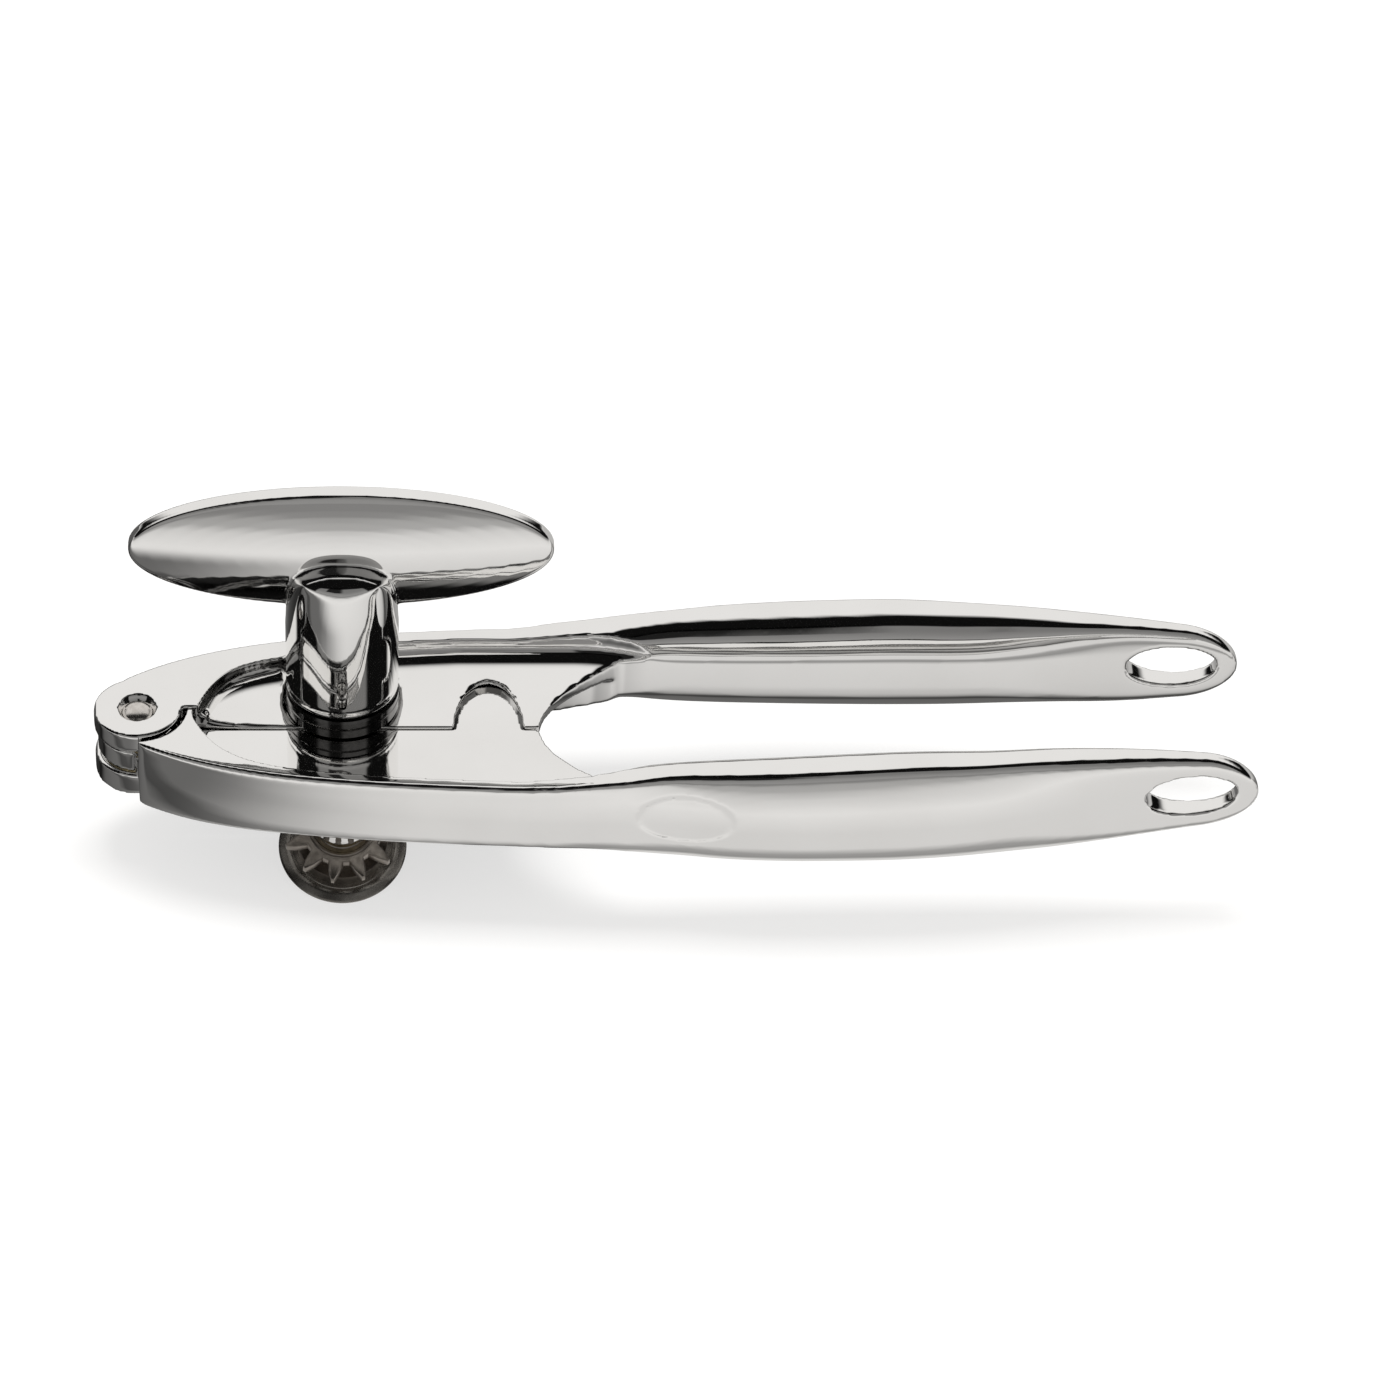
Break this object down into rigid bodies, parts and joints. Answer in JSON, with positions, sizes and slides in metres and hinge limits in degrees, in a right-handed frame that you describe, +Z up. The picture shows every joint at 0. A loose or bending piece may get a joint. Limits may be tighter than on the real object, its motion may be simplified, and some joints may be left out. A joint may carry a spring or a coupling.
{
  "type": "manual can opener",
  "caption": "Plated two-handled can opener with a turning knob that drives a toothed feed wheel and a tilted, geared cutting wheel under the jaws.",
  "frame": {"origin": "on the surface under the cutting wheel's lowest point, in the middle of the closed opener's length and width", "axes": "+X from the hinge to the handle tips, +Y across the jaws towards the rear handle, +Z up along the knob's axis"},
  "size_m": [0.2036, 0.0532, 0.0746],
  "materials": {
    "cast_chrome": "polished chrome plate on zinc casting",
    "knob_chrome": "polished chrome plate",
    "satin_rivet": "satin nickel",
    "bright_steel": "turned steel",
    "dark_steel": "hardened, dark brown-grey",
    "cutter_steel": "hardened steel, ground edge",
    "collar_dark": "gloss black acetal",
    "bronze": "sintered bronze"
  },
  "bodies": {
    "rear_handle": {"rear_handle": "cast_chrome", "hinge_rivet": "satin_rivet", "hinge_washers": "bright_steel", "shaft_bush": "bronze", "knob_collar": "collar_dark", "thrust_washer": "bright_steel"},
    "front_handle": {"front_handle": "cast_chrome", "cutter_stud": "bright_steel", "cutter_spacer": "dark_steel", "cutter_end_washer": "bright_steel", "cutter_nut": "bright_steel"},
    "knob": {"turning_knob": "knob_chrome", "spring_washer": "bright_steel", "knob_pin": "bright_steel", "drive_shaft": "bright_steel", "drive_gear": "dark_steel", "feed_spacer": "bright_steel", "feed_wheel": "dark_steel", "shaft_nut": "bright_steel"},
    "cutter": {"cutter_gear": "dark_steel", "cutter_hub": "dark_steel", "cutter_wheel": "cutter_steel", "cutter_bush": "bronze"}
  },
  "joints": [
    {"name": "handle_hinge", "type": "hinge", "parent": "rear_handle", "child": "front_handle", "pos_m": [-0.0942, 0, 0.02591], "axis": [0, 0, -1], "range_deg": [0, 36]},
    {"name": "knob_spin", "type": "hinge", "parent": "rear_handle", "child": "knob", "pos_m": [-0.0586, 0.0065, 0.02591], "axis": [0, 0, 1], "continuous": true},
    {"name": "cutter_spin", "type": "hinge", "parent": "front_handle", "child": "cutter", "pos_m": [-0.0586, -0.0094, 0.01088], "axis": [0, -0.3584, 0.9336], "continuous": true}
  ],
  "couplings": [
    {"joint": "cutter_spin", "follows": "knob_spin", "ratio": -0.83333}
  ]
}
